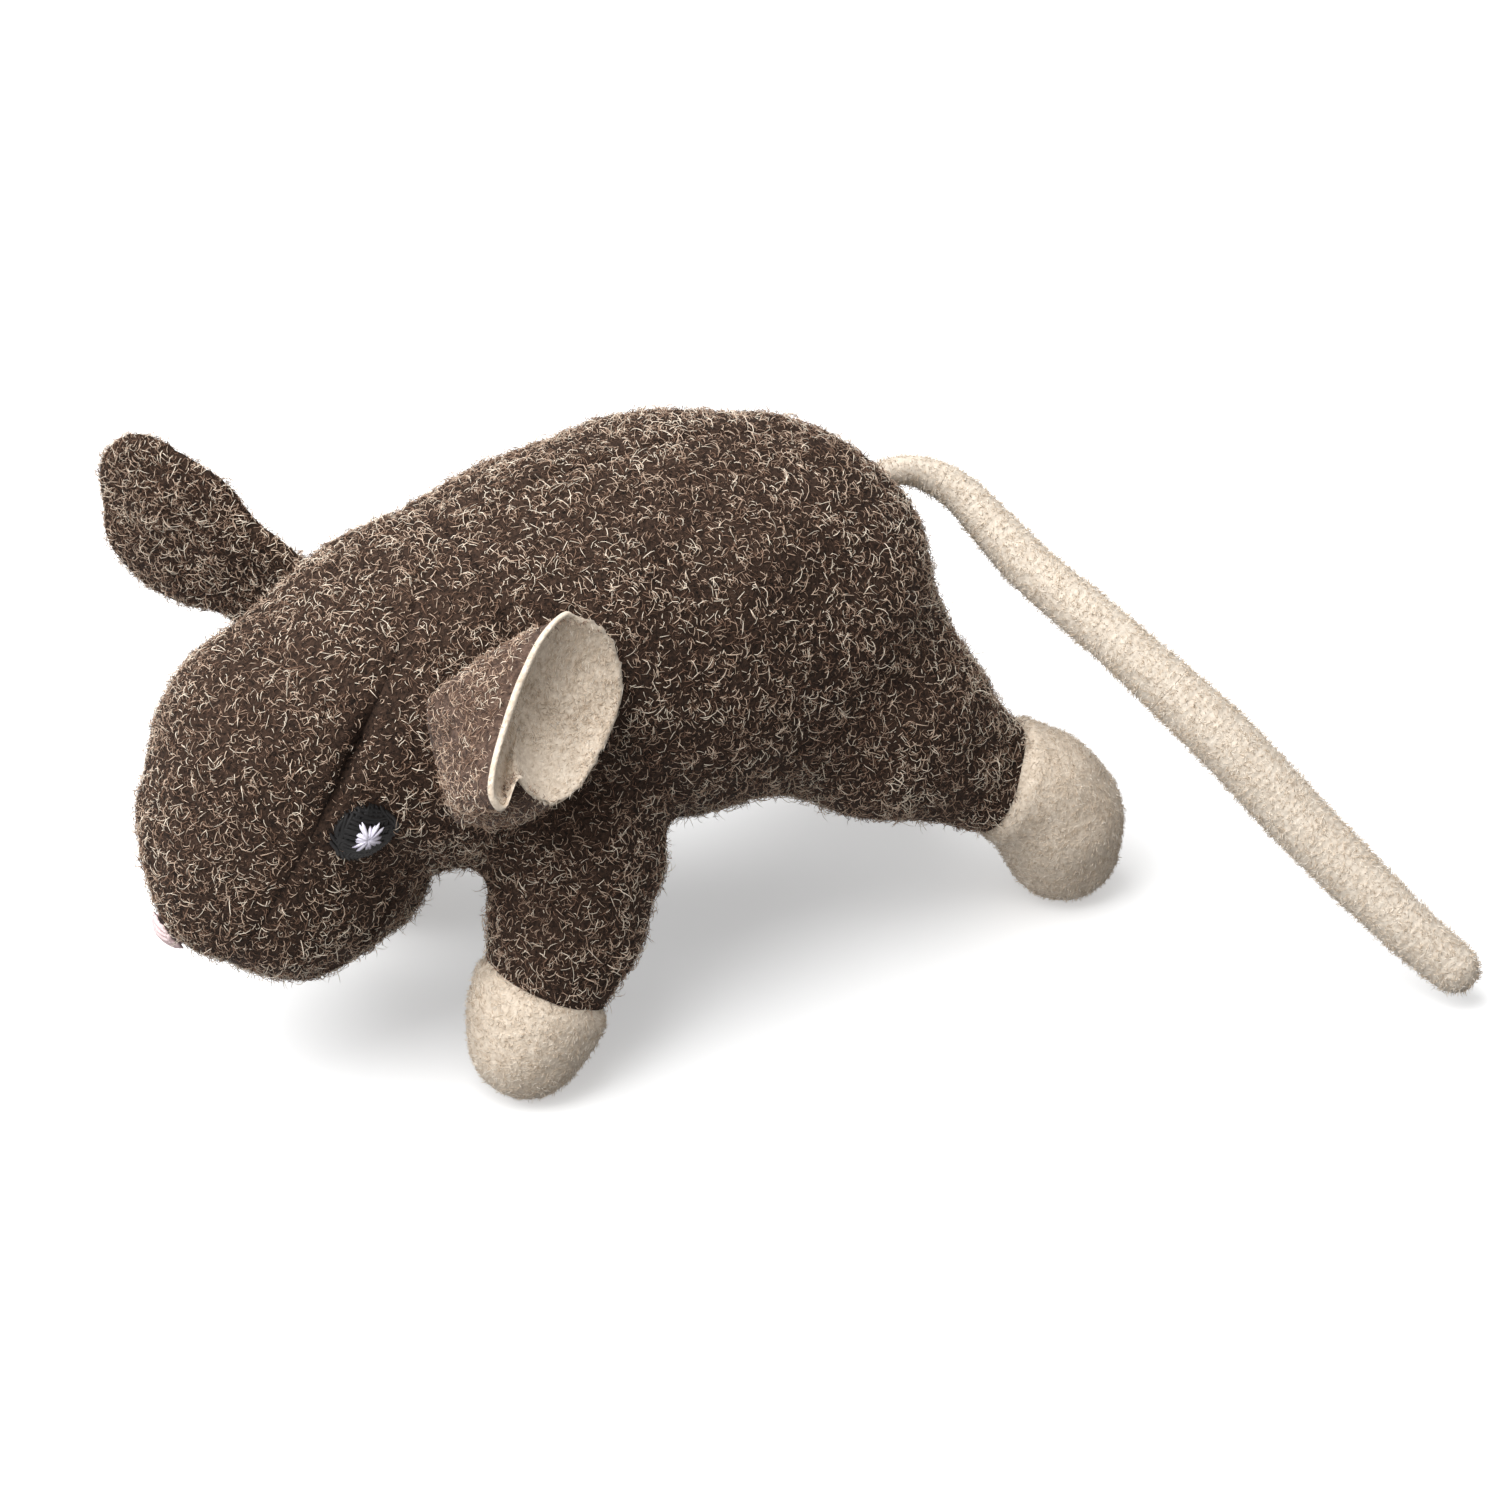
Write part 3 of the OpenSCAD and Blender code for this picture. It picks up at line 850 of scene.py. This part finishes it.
def build_sleeve(which, side, body):
    skin_at = partial(sleeve_skin, which=which, side=side)
    points, quads = surface(skin_at, *leg_box(which, side), SLEEVE_GRID)
    roots = settle(skin_at, scatter(points, quads, WOOL_DENSITY, 40), 1)
    seam_at, seam_way = (flip(v, side) for v in PAW_SEAMS[which])
    points, faces = cut(points, quads, [(seam_at, seam_way)], skin_at)
    kept = on_sleeve(middles(points, faces), which, side)
    skin = panel(f"{body}_sleeve", points, faces, kept, skin_at, WOOL_SKIN, WOOL_THICK, "wool_cloth")
    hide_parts(f"{body}_sleeve", f"{body}_stuffing")
    thinned = np.random.default_rng(41).uniform(size=len(roots)) < 0.85
    roots = roots[on_sleeve(roots, which, side) & thinned]
    for obj in (skin, *wool_pile(body, roots, outward(skin_at, roots), 42)):
        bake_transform(obj)


def build_paw(which, side, body, name):
    skin_at = partial(paw_skin, which=which, side=side)
    points, quads = surface(skin_at, *leg_box(which, side), PAW_GRID)
    kept = past_seam(middles(points, quads), which, side) < 1.2
    cover = panel(name, points, quads.tolist(), kept, skin_at, SUEDE, SUEDE_THICK, "suede")
    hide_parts(name)
    roots = scatter(points, quads, PAW_DENSITY, 43)
    roots = roots[(past_seam(roots, which, side) < -0.2) & (roots[:, 2] > 0.6)]
    for obj in (cover, *suede_pile(name, roots, outward(skin_at, roots), 44, length=0.65)):
        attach(obj, body)


def build_leg(which, side):
    limb = f"{which}_left" if side > 0 else f"{which}_right"
    build_sleeve(which, side, f"{limb}_leg")
    build_paw(which, side, f"{limb}_leg", f"{limb}_{COVERS[which]}")


# ---- Ears ----

def ear_place(side, mouth, face):
    """Where an ear's root is and the way its seam runs, and where its mouth is and how that faces."""
    ear = SimpleNamespace(along=unit(flip(EAR_ROOT_DIR, side)), mouth=np.array(mouth), face=unit(face))
    ear.root = flip(EAR_ROOT, side)
    ear.sunk = ear.root - EAR_SUNK * unit(ear.root - HEAD_MIDDLE)
    ear.up = unit(ear.along - ear.face * (ear.along @ ear.face))
    ear.across = np.cross(ear.up, ear.face)
    return ear


def closed_curve(corners, count):
    """A smooth closed curve through the corners, in evenly spaced points."""
    corners = np.array(corners, float)
    t = np.linspace(0, 1, 40, endpoint=False)[:, None]
    pieces = [spline([corners[(i + k) % len(corners)] for k in (-1, 0, 1, 2)], t)
              for i in range(len(corners))]
    line = np.vstack(pieces + [corners[:1]])
    travelled = travel(line)
    wanted = np.linspace(0, travelled[-1], count, endpoint=False)
    return np.stack([np.interp(wanted, travelled, line[:, k]) for k in (0, 1)], 1)


def left_rings(ear, leaf, rim):
    """Rings of the left ear's wall, up its outside and down its inside."""
    angle = np.arctan2(leaf[:, 1], leaf[:, 0])
    flat = unit(ear.across - ear.along * (ear.across @ ear.along))
    wide, high = LEFT_ROOT_HALF
    seam = ear.sunk + np.outer(np.cos(angle), wide * flat) + np.outer(np.sin(angle), high * ear.along)

    def wall(share, inset):
        """A ring between the root seam (0) and the mouth's edge (1)."""
        ring = seam * (1 - share) + rim * share
        away = unit(ring - ring.mean(0))
        return ring + (1.6 * math.sin(math.pi * share) - inset) * away

    outer = [wall(share, 0.3) for share in np.linspace(0, 1, 22)]
    inner = [wall(share, 0.4 + 0.5 * ramp(1 - share, 0, 0.3)) for share in np.linspace(0.98, 0.12, 18)]
    return outer, inner


def left_dish(ear, leaf, rim):
    """Rings of the left ear's lining from its rim inwards. Its rear edge is slightly ragged."""
    ragged = 0.16 * np.random.default_rng(50).normal(size=leaf.shape) * (leaf[:, :1] > leaf[:, 1:])
    ragged = ragged[:, :1] * ear.across + ragged[:, 1:] * ear.up
    centre = ear.mouth + 0.22 * (ear.root - ear.mouth)
    rings = []
    for share in np.linspace(1, 0.02, 24):
        ring = centre + (rim - centre) * share + ragged * share ** 24
        ripple = 0.3 * field(ring, 8, 51) * (1 - share ** 6)
        rings.append(ring + np.outer(0.3 + ripple - 1.9 * (1 - share ** 2), ear.face))
    return rings


def turned_edge(ear, leaf, rim):
    """A roll along the lining's rim, which is thicker at the ear's front."""
    front = ramp(leaf[:, 1] - leaf[:, 0], -2, 3)
    thick = 0.1 + 0.34 * front
    middle = rim + np.outer(0.1 * front, ear.face)
    out = unit(rim - ear.mouth)
    rings = [middle + (thick * math.cos(t))[:, None] * out + np.outer(thick * math.sin(t), ear.face)
             for t in turn_round(8)]
    points, quads = band(np.stack(rings, 1), wrapped=True)
    return points, quads[:, [0, 3, 2, 1]].tolist()


def left_wool(ear, rings, rim):
    """The pile of the left ear's back, which gets short towards the rim."""
    points, quads = band(rings)
    normals = band_normals(points, quads)
    roots = scatter(points, quads, LEFT_EAR_DENSITY, 52)
    from_rim = np.sqrt(((roots[:, None] - rim[None]) ** 2).sum(2).min(1))
    from_middle = np.abs((roots - ear.mouth) @ (ear.across - ear.up))
    scale = 0.25 + 0.75 * np.maximum(ramp(from_rim, 0.5, 3), 0.6 * (from_middle < 5))
    return wool_pile("left_ear", roots, nearest_normals(roots, points, normals), 53,
                     scale=scale, length=1.5, upright=0.7, mix=LEFT_EAR_MIX)


def band_normals(points, quads):
    """The way out of the left ear's wall at each point of its rings."""
    a, b, c = (points[quads[:, i]] for i in range(3))
    total = np.zeros_like(points)
    for corner in range(4):
        np.add.at(total, quads[:, corner], np.cross(b - a, c - a))
    return unit(total)


def nearest_normals(places, points, normals, chunk=2000):
    """The normal of the nearest of the points to each place, found some places at a time."""
    found = np.empty((len(places), 3))
    for start in range(0, len(places), chunk):
        part = places[start:start + chunk]
        near = ((part[:, None] - points[None]) ** 2).sum(2).argmin(1)
        found[start:start + chunk] = normals[near]
    return found


def build_left_ear():
    """A scoop of wool sewn flat to the head, lined with suede that is turned over at its front edge."""
    ear = ear_place(1, LEFT_MOUTH, LEFT_FACE)
    leaf = closed_curve(LEFT_RIM, RIM_POINTS)
    rim = ear.mouth + leaf[:, :1] * ear.across + leaf[:, 1:] * ear.up
    outer, inner = left_rings(ear, leaf, rim)
    back = piece("left_ear_back", *loft(outer + inner), [EAR_SKIN], "wool_cloth")
    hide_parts("left_ear_back")

    dish = left_dish(ear, leaf, rim)
    under = [ring - ear.face * SUEDE_THICK * 0.7 for ring in reversed(dish)]
    points, quads = band(dish + under, wrapped=True)
    lining = piece("left_ear_lining", points, quads.tolist(), [SUEDE], "suede")
    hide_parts("left_ear_lining")
    edge = piece("left_ear_turned_edge", *turned_edge(ear, leaf, rim), [SUEDE], "suede")

    wool = left_wool(ear, outer, rim)
    roots = scatter(*band(dish), LINING_DENSITY, 54)
    normals = np.tile(ear.face, (len(roots), 1))
    suede = suede_pile("left_ear_lining", roots, normals, 55, length=0.8, brushed=1.15)
    for obj in (back, lining, edge, *wool, *suede):
        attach(obj, "left_ear")


def right_blade(points, ear):
    """The right ear's form: a slightly hollow disc, drawn together to its root."""
    offset = points - ear.mouth
    deep = offset @ ear.face
    flat = offset - deep[:, None] * ear.face
    outer = flat @ ear.across
    upper = flat @ ear.up / (1 + 0.2 * ramp(outer, -10, 2))
    away = (np.abs(upper) ** 2.8 + np.abs(outer) ** 2.8) ** (1 / 2.8)
    thick = 1.3 + 0.5 * (1 - np.clip(away / RIGHT_RADIUS, 0, 1) ** 2)
    form = np.hypot(np.maximum(away - (RIGHT_RADIUS - 1.3), 0), deep + 1.1 - 0.011 * away ** 2) - thick
    for share in np.linspace(-1, 1, 11):
        root = (*(ear.sunk + RIGHT_ROOT_HALF * share * ear.along), 1.6)
        tip = (*(ear.mouth + 8.5 * share * ear.up - 0.6 * ear.face), 1.7)
        form = join(form, round_cone(points, root, tip), 1.5)
    return form + 0.2 * field(points, 9, 56) + 0.5


def on_right_lining(points, normals, ear):
    offset = points - ear.mouth
    away = np.linalg.norm(offset - (offset @ ear.face)[:, None] * ear.face, axis=1)
    return (away < RIGHT_RADIUS - 1.4) & (normals @ ear.face > 0.35)


def build_right_ear():
    """A shallow blade that is turned away, wool behind and suede in front."""
    ear = ear_place(-1, RIGHT_MOUTH, RIGHT_FACE)
    skin_at = partial(right_blade, ear=ear)
    low = np.minimum(ear.root, ear.mouth) - 16
    high = np.maximum(ear.root, ear.mouth) + 16
    points, quads = surface(skin_at, low, high, EAR_GRID)
    centres = middles(points, quads)
    lined = on_right_lining(centres, outward(skin_at, centres), ear)
    faces = quads.tolist()
    back = panel("right_ear_back", points, faces, ~lined, skin_at, WOOL_SKIN, RIGHT_EAR_THICK, "wool_cloth")
    lining = panel("right_ear_lining", points, faces, lined, skin_at, SUEDE, RIGHT_EAR_THICK, "suede")
    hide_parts("right_ear_back")
    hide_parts("right_ear_lining")

    roots = scatter(points, quads, WOOL_DENSITY, 57)
    normals = outward(skin_at, roots)
    soft = on_right_lining(roots, normals, ear)
    wool = wool_pile("right_ear", roots[~soft], normals[~soft], 58, length=1.7)
    suede = suede_pile("right_ear_lining", roots[soft], normals[soft], 59, length=0.8, brushed=1.15)
    for obj in (back, lining, *wool, *suede):
        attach(obj, "right_ear")


# ---- Tail ----

def tail_line():
    """Points and radii along a smooth curve through the tail's balls, and each ball's place on it."""
    balls = np.array(TAIL, float)
    padded = np.vstack([2 * balls[0] - balls[1], balls, 2 * balls[-1] - balls[-2]])
    line = []
    marks = [0]
    for i in range(len(balls) - 1):
        count = max(2, int(np.linalg.norm((balls[i + 1] - balls[i])[:3]) / TAIL_STEP))
        line.append(spline(padded[i:i + 4], np.linspace(0, 1, count, endpoint=False)[:, None]))
        marks.append(marks[-1] + count)
    line = np.vstack(line + [balls[-1:]])
    line[:, 2] = np.maximum(line[:, 2], line[:, 3] - 0.1)
    return line, marks


def tail_rings(line, first, last):
    """Rings round one stretch, raised in fine ribs and rounded off at the tip."""
    places = line[:, :3]
    ways = unit(np.gradient(places, axis=0))
    travelled = travel(places)
    side = unit(np.cross(ways, [0, 0, 1]))
    up = np.cross(side, ways)
    angle = turn_round(TAIL_AROUND)
    rings = []
    for i in range(first, last + 1):
        phase = travelled[i] / RIB * 2 * math.pi + 0.5 * np.sin(angle + travelled[i] / 9)
        left = travelled[-1] - travelled[i]
        tip = math.sqrt(max(1 - (1 - min(left / line[i, 3], 1)) ** 2, 0.0))
        rib = RIB_HEIGHT * (1 - np.abs(np.sin(phase / 2)) * 2) * min(tip * 2, 1)
        radius = (line[i, 3] - 0.28) * tip + rib
        ring = np.outer(radius * np.cos(angle), side[i]) + np.outer(radius * np.sin(angle), up[i])
        rings.append(places[i] + ring)
    return np.array(rings)


def build_stretch(line, first, last, body, seed):
    """One stretch of the tail: its cover with its nap."""
    rings = tail_rings(line, first, last)
    cover = piece(f"{body}_cover", *loft(rings, reverse=True), [TAIL_SUEDE], "ribbed_suede")
    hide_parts(f"{body}_cover", f"{body}_filling")
    roots = scatter(*band(rings), TAIL_DENSITY, 60 + seed)
    centres = line[first:last + 1, :3]
    near = ((roots[:, None] - centres[None, ::4]) ** 2).sum(2).argmin(1) * 4
    normals = unit(roots - centres[near])
    return [cover, *suede_pile(body, roots, normals, 63 + seed, "ribbed_suede", length=0.75, brushed=0.6)]


def build_tail():
    line, marks = tail_line()
    ends = [0, (marks[2] + marks[3]) // 2, (marks[5] + marks[6]) // 2, len(line) - 1]
    chained = ("body", "tail_base", "tail_middle", "tail_tip")
    for number, joint in enumerate((marks[1], marks[4], marks[7])):
        parent, body = chained[number:number + 2]
        for obj in build_stretch(line, ends[number], ends[number + 1], body, number):
            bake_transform(obj)


# ---- Embroidery ----

def strand(path, radius, sides=6):
    """A thread along a few points, thin at its ends."""
    ways = unit(np.gradient(path, axis=0))
    side = unit(np.cross(ways, [0.3, 0.5, 0.8]))
    up = np.cross(side, ways)
    share = np.linspace(0, 1, len(path))
    thick = radius * np.sqrt(np.clip(1 - (2 * share - 1) ** 6, 0.05, 1))
    a = turn_round(sides)
    rings = [place + t * (np.outer(np.cos(a), s) + np.outer(np.sin(a), u))
             for place, t, s, u in zip(path, thick, side, up)]
    return loft(rings, reverse=True)


def patch_axes(out):
    """The ways out of a patch of embroidery, up it and across it."""
    out = unit(out)
    up = unit(np.array([0, 0, 1]) - out * out[2])
    return out, up, np.cross(up, out)


def satin_patch(place, axes, half, lift, spacing, slant, seed, corner=0.0, raised=0.15):
    """Parallel stitches over an oval of the head's skin, domed. corner draws its rear to a point."""
    out, up, side = axes
    rng = np.random.default_rng(seed)
    cos, sin = math.cos(slant), math.sin(slant)
    t = np.linspace(-1, 1, 9)
    strands = []
    for offset in np.arange(-half[0] + spacing / 2, half[0], spacing):
        share = abs(offset) / half[0]
        along = half[1] * math.sqrt(1 - share * share) * rng.uniform(0.95, 1.06) * t
        across = offset + 0.1 * rng.normal() + 0.12 * np.sin(3 * t + rng.uniform(0, 6))
        a = across * cos - along * sin
        b = across * sin + along * cos
        a = a + corner * np.clip(a / half[0], 0, 1) ** 3 * (1 - np.clip(np.abs(b) / half[1], 0, 1))
        spread = np.clip((a / half[0]) ** 2 + (b / half[1]) ** 2, 0, 1)
        height = raised + lift * (1 - spread) + rng.uniform(-0.06, 0.06)
        base = settle(torso_skin, place + np.outer(a, side) + np.outer(b, up))
        strands.append(strand(base + np.outer(height, out), STITCH_RADIUS))
    return together(strands)


def star(middle, axes):
    """Rays of thread from one point, which bend down to the stitches under them."""
    out, up, across = axes
    rng = np.random.default_rng(75)
    t = np.linspace(0, 1, 6)
    rays = []
    for angle in turn_round(STAR_RAYS):
        angle += rng.uniform(-0.12, 0.12)
        way = math.cos(angle) * across + math.sin(angle) * up
        reach = rng.uniform(1.3, 2.3)
        height = 0.25 - 0.75 * t ** 2 + 0.12 * rng.uniform()
        rays.append(strand(middle + np.outer(t * reach, way) + np.outer(height, out), STAR_RADIUS))
    return together(rays)


def embroidery(name, shape, thread, slot):
    patch = piece(name, *shape, [thread], slot)
    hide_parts(name)
    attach(patch, "head")


def build_eye(side):
    name = "left_eye" if side > 0 else "right_eye"
    place = settle(torso_skin, flip(EYE_AT, side)[None])[0]
    axes = patch_axes(flip(EYE_OUT, side))
    layers = []
    for layer, (slant, lift) in enumerate(EYE_LAYERS):
        half = [reach * (1 - 0.06 * layer) for reach in EYE_HALF]
        corner = 0.4 * side
        layers.append(satin_patch(place, axes, half, lift, EYE_SPACING, slant, 70 + layer, corner))
    embroidery(name, together(layers), BLACK_THREAD, "eye_thread")
    middle = place + 1.65 * axes[0] + 0.2 * axes[1]
    embroidery(f"{name}_highlight", star(middle, axes), WHITE_THREAD, "highlight_thread")


def build_nose():
    axes = patch_axes(NOSE_OUT)
    place = np.array(NOSE_BALL[:3]) + (NOSE_BALL[3] - 0.35) * axes[0]
    layers = [satin_patch(place, axes, NOSE_HALF, lift, NOSE_SPACING, slant, 80, raised=0.6)
              for slant, lift in NOSE_LAYERS]
    embroidery("nose", together(layers), PINK_THREAD, "nose_thread")


def finish_inner_parts():
    """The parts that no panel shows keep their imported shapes, with their own material."""
    for name in ("squeaker_bulb", "squeaker_plug", "squeaker_reed"):
        node = frame["nodes"][name]
        node.data.materials.clear()
        node.data.materials.append(PLASTIC)


# ---- Camera and studio ----

def look(obj, way):
    obj.rotation_mode = "QUATERNION"
    obj.rotation_quaternion = Vector(way).to_track_quat("-Z", "Y")


def add_camera():
    turn, rise = (math.radians(angle) for angle in CAMERA_FROM)
    back = np.array([math.sin(turn) * math.cos(rise), math.cos(turn) * math.cos(rise), math.sin(rise)])
    data = bpy.data.cameras.new("camera")
    data.sensor_width = 36
    data.lens = data.sensor_width * CAMERA_AWAY / VIEW_ACROSS
    camera = add_to_scene("camera", data, metres(CAMERA_AT + back * CAMERA_AWAY))
    look(camera, -back)
    bpy.context.scene.camera = camera


def build_floor():
    corners = [(x * FLOOR_HALF, y * FLOOR_HALF, 0) for x, y in ((-1, -1), (1, -1), (1, 1), (-1, 1))]
    mesh = bpy.data.meshes.new("floor")
    mesh.from_pydata(corners, [], [[0, 1, 2, 3]])
    paper, shader = principled("floor", (0.8, 0.8, 0.8), 0.9, 0.0, 0.1)
    shader.inputs["Emission Color"].default_value = (1, 1, 1, 1)
    shader.inputs["Emission Strength"].default_value = 0.35
    mesh.materials.append(paper)
    floor = add_to_scene("floor", mesh, (0, 0, min(cad_box[0].z, 0) - 0.0002))
    floor.visible_diffuse = False


def build_sky():
    """Surroundings that get brighter from the floor to overhead."""
    world = bpy.data.worlds.new("studio")
    bpy.context.scene.world = world
    world.use_nodes = True
    tree = world.node_tree
    place = tree.nodes.new("ShaderNodeTexCoord")
    height = tree.nodes.new("ShaderNodeSeparateXYZ")
    sky = ramp_node(tree, ((0, (SKY_LOW,) * 3), (0.35, (SKY_HIGH,) * 3)))
    tree.links.new(place.outputs["Generated"], height.inputs["Vector"])
    tree.links.new(height.outputs["Z"], sky.inputs["Fac"])
    tree.links.new(sky.outputs["Color"], tree.nodes["Background"].inputs["Color"])


def build_lamps():
    for name, (place, width, power) in LAMPS.items():
        data = bpy.data.lights.new(name, "AREA")
        data.size = width
        data.energy = power
        look(add_to_scene(name, data, place), Vector((0, 0, LAMPS_AIM_Z)) - Vector(place))


add_camera()
build_floor()
build_sky()
build_lamps()
bpy.context.scene.view_settings.view_transform = "Standard"
build_torso()
for which in LIMBS:
    for side in (1, -1):
        build_leg(which, side)
build_left_ear()
build_right_ear()
for side in (1, -1):
    build_eye(side)
build_nose()
build_tail()
finish_inner_parts()
